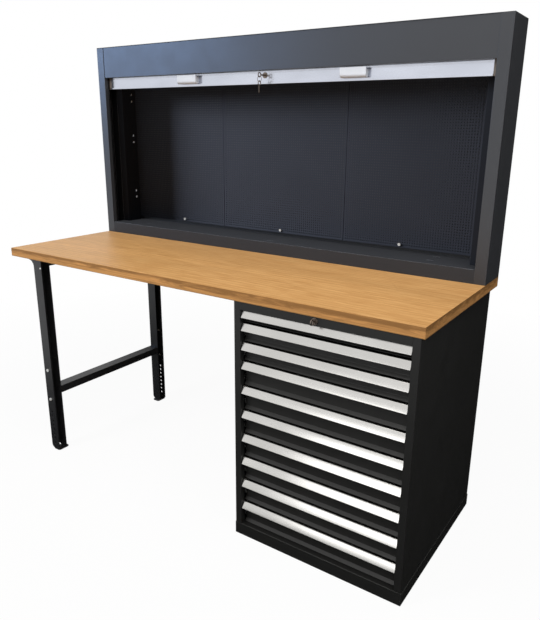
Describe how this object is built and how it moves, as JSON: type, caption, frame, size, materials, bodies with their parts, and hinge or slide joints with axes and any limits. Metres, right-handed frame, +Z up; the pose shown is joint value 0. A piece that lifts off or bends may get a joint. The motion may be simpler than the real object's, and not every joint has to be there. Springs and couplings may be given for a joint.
{
  "type": "workbench with drawer cabinet and shuttered tool cabinet",
  "caption": "Workshop bench with a wooden worktop on a drawer cabinet and a leg frame, and an upper tool cabinet along the back closed by a roller shutter.",
  "frame": {"origin": "on the floor under the middle of the bench's bounding box", "axes": "+X along the worktop towards the drawer cabinet, +Y from the front to the upper cabinet's back, +Z up"},
  "size_m": [1.7, 0.672, 1.615],
  "materials": {
    "wood": "oiled glued board with a fine grain",
    "dark_paint": "satin powder coat",
    "drawer_paint": "satin powder coat",
    "leg_paint": "satin powder coat",
    "grey_paint": "satin powder coat",
    "panel_paint": "satin powder coat",
    "aluminium": "satin anodised",
    "zinc_steel": "zinc plated",
    "nickel_steel": "nickel plated",
    "pull_plastic": "satin moulded",
    "block_plastic": "matt moulded"
  },
  "bodies": {
    "bench": {"worktop": "wood", "cabinet_sides": "dark_paint", "cabinet_back": "dark_paint", "cabinet_top": "dark_paint", "cabinet_plinth": "dark_paint", "cabinet_rails": "zinc_steel", "leg_frame": "leg_paint", "leg_feet": "leg_paint", "fasteners": "zinc_steel", "upper_sides": "grey_paint", "upper_back": "grey_paint", "fascia": "grey_paint", "sill": "grey_paint", "tool_panels": "panel_paint", "side_liners": "dark_paint", "shutter_guides": "dark_paint", "barrel_shaft": "zinc_steel"},
    "shutter": {"shutter_bar": "aluminium", "shutter_blocks": "block_plastic", "shutter_pulls": "pull_plastic", "curtain_1": "aluminium"},
    "barrel": {"shutter_barrel": "aluminium"},
    "shutter_lock": {"shutter_lock": "nickel_steel"},
    "spare_key": {"spare_key": "nickel_steel"},
    "cabinet_lock": {"cabinet_lock": "nickel_steel"},
    "lock_bar": {"lock_bar": "zinc_steel"},
    "curtain_2": {"curtain_2": "aluminium"},
    "curtain_3": {"curtain_3": "aluminium"},
    "curtain_4": {"curtain_4": "aluminium"},
    "curtain_5": {"curtain_5": "aluminium"},
    "drawer_1": {"drawer_1": "drawer_paint", "drawer_handle_1": "aluminium"},
    "slides_1": {"drawer_slides_1": "zinc_steel"},
    "drawer_2": {"drawer_2": "drawer_paint", "drawer_handle_2": "aluminium"},
    "slides_2": {"drawer_slides_2": "zinc_steel"},
    "drawer_3": {"drawer_3": "drawer_paint", "drawer_handle_3": "aluminium"},
    "slides_3": {"drawer_slides_3": "zinc_steel"},
    "drawer_4": {"drawer_4": "drawer_paint", "drawer_handle_4": "aluminium"},
    "slides_4": {"drawer_slides_4": "zinc_steel"},
    "drawer_5": {"drawer_5": "drawer_paint", "drawer_handle_5": "aluminium"},
    "slides_5": {"drawer_slides_5": "zinc_steel"},
    "drawer_6": {"drawer_6": "drawer_paint", "drawer_handle_6": "aluminium"},
    "slides_6": {"drawer_slides_6": "zinc_steel"},
    "drawer_7": {"drawer_7": "drawer_paint", "drawer_handle_7": "aluminium"},
    "slides_7": {"drawer_slides_7": "zinc_steel"},
    "drawer_8": {"drawer_8": "drawer_paint", "drawer_handle_8": "aluminium"},
    "slides_8": {"drawer_slides_8": "zinc_steel"},
    "drawer_9": {"drawer_9": "drawer_paint", "drawer_handle_9": "aluminium"},
    "slides_9": {"drawer_slides_9": "zinc_steel"},
    "drawer_10": {"drawer_10": "drawer_paint", "drawer_handle_10": "aluminium"},
    "slides_10": {"drawer_slides_10": "zinc_steel"}
  },
  "joints": [
    {"name": "shutter_slide", "type": "slide", "parent": "bench", "child": "shutter", "axis": [0, 0, -1], "range_m": [0, 0.565]},
    {"name": "curtain_2_slide", "type": "slide", "parent": "bench", "child": "curtain_2", "axis": [0, 0, -1], "range_m": [0, 0.452]},
    {"name": "curtain_3_slide", "type": "slide", "parent": "bench", "child": "curtain_3", "axis": [0, 0, -1], "range_m": [0, 0.339]},
    {"name": "curtain_4_slide", "type": "slide", "parent": "bench", "child": "curtain_4", "axis": [0, 0, -1], "range_m": [0, 0.226]},
    {"name": "curtain_5_slide", "type": "slide", "parent": "bench", "child": "curtain_5", "axis": [0, 0, -1], "range_m": [0, 0.113]},
    {"name": "barrel_turn", "type": "hinge", "parent": "bench", "child": "barrel", "pos_m": [0, 0.283, 1.55475], "axis": [-1, 0, 0], "range_deg": [0, 1080]},
    {"name": "shutter_lock_turn", "type": "hinge", "parent": "shutter", "child": "shutter_lock", "pos_m": [0, 0.21, 1.48], "axis": [0, 1, 0], "range_deg": [0, 90]},
    {"name": "spare_key_swing", "type": "hinge", "parent": "shutter_lock", "child": "spare_key", "pos_m": [0, 0.175, 1.4725], "axis": [0, -1, 0], "range_deg": [-90, 90]},
    {"name": "cabinet_lock_turn", "type": "hinge", "parent": "bench", "child": "cabinet_lock", "pos_m": [0.5345, -0.312, 0.7958], "axis": [0, -1, 0], "range_deg": [0, 90]},
    {"name": "lock_bar_slide", "type": "slide", "parent": "bench", "child": "lock_bar", "axis": [0, 0, 1], "range_m": [0, 0.005]},
    {"name": "drawer_1_slide", "type": "slide", "parent": "bench", "child": "drawer_1", "axis": [0, -1, 0], "range_m": [0, 0.5]},
    {"name": "slides_1_slide", "type": "slide", "parent": "bench", "child": "slides_1", "axis": [0, -1, 0], "range_m": [0, 0.25]},
    {"name": "drawer_2_slide", "type": "slide", "parent": "bench", "child": "drawer_2", "axis": [0, -1, 0], "range_m": [0, 0.5]},
    {"name": "slides_2_slide", "type": "slide", "parent": "bench", "child": "slides_2", "axis": [0, -1, 0], "range_m": [0, 0.25]},
    {"name": "drawer_3_slide", "type": "slide", "parent": "bench", "child": "drawer_3", "axis": [0, -1, 0], "range_m": [0, 0.5]},
    {"name": "slides_3_slide", "type": "slide", "parent": "bench", "child": "slides_3", "axis": [0, -1, 0], "range_m": [0, 0.25]},
    {"name": "drawer_4_slide", "type": "slide", "parent": "bench", "child": "drawer_4", "axis": [0, -1, 0], "range_m": [0, 0.5]},
    {"name": "slides_4_slide", "type": "slide", "parent": "bench", "child": "slides_4", "axis": [0, -1, 0], "range_m": [0, 0.25]},
    {"name": "drawer_5_slide", "type": "slide", "parent": "bench", "child": "drawer_5", "axis": [0, -1, 0], "range_m": [0, 0.5]},
    {"name": "slides_5_slide", "type": "slide", "parent": "bench", "child": "slides_5", "axis": [0, -1, 0], "range_m": [0, 0.25]},
    {"name": "drawer_6_slide", "type": "slide", "parent": "bench", "child": "drawer_6", "axis": [0, -1, 0], "range_m": [0, 0.5]},
    {"name": "slides_6_slide", "type": "slide", "parent": "bench", "child": "slides_6", "axis": [0, -1, 0], "range_m": [0, 0.25]},
    {"name": "drawer_7_slide", "type": "slide", "parent": "bench", "child": "drawer_7", "axis": [0, -1, 0], "range_m": [0, 0.5]},
    {"name": "slides_7_slide", "type": "slide", "parent": "bench", "child": "slides_7", "axis": [0, -1, 0], "range_m": [0, 0.25]},
    {"name": "drawer_8_slide", "type": "slide", "parent": "bench", "child": "drawer_8", "axis": [0, -1, 0], "range_m": [0, 0.5]},
    {"name": "slides_8_slide", "type": "slide", "parent": "bench", "child": "slides_8", "axis": [0, -1, 0], "range_m": [0, 0.25]},
    {"name": "drawer_9_slide", "type": "slide", "parent": "bench", "child": "drawer_9", "axis": [0, -1, 0], "range_m": [0, 0.5]},
    {"name": "slides_9_slide", "type": "slide", "parent": "bench", "child": "slides_9", "axis": [0, -1, 0], "range_m": [0, 0.25]},
    {"name": "drawer_10_slide", "type": "slide", "parent": "bench", "child": "drawer_10", "axis": [0, -1, 0], "range_m": [0, 0.5]},
    {"name": "slides_10_slide", "type": "slide", "parent": "bench", "child": "slides_10", "axis": [0, -1, 0], "range_m": [0, 0.25]}
  ],
  "couplings": [
    {"joint": "curtain_2_slide", "follows": "shutter_slide", "ratio": 0.8},
    {"joint": "curtain_3_slide", "follows": "shutter_slide", "ratio": 0.6},
    {"joint": "curtain_4_slide", "follows": "shutter_slide", "ratio": 0.4},
    {"joint": "curtain_5_slide", "follows": "shutter_slide", "ratio": 0.2},
    {"joint": "barrel_turn", "follows": "shutter_slide", "rad_per_m": 33.3},
    {"joint": "cabinet_lock_turn", "follows": "lock_bar_slide", "rad_per_m": 314.16},
    {"joint": "slides_1_slide", "follows": "drawer_1_slide", "ratio": 0.5},
    {"joint": "slides_2_slide", "follows": "drawer_2_slide", "ratio": 0.5},
    {"joint": "slides_3_slide", "follows": "drawer_3_slide", "ratio": 0.5},
    {"joint": "slides_4_slide", "follows": "drawer_4_slide", "ratio": 0.5},
    {"joint": "slides_5_slide", "follows": "drawer_5_slide", "ratio": 0.5},
    {"joint": "slides_6_slide", "follows": "drawer_6_slide", "ratio": 0.5},
    {"joint": "slides_7_slide", "follows": "drawer_7_slide", "ratio": 0.5},
    {"joint": "slides_8_slide", "follows": "drawer_8_slide", "ratio": 0.5},
    {"joint": "slides_9_slide", "follows": "drawer_9_slide", "ratio": 0.5},
    {"joint": "slides_10_slide", "follows": "drawer_10_slide", "ratio": 0.5}
  ]
}
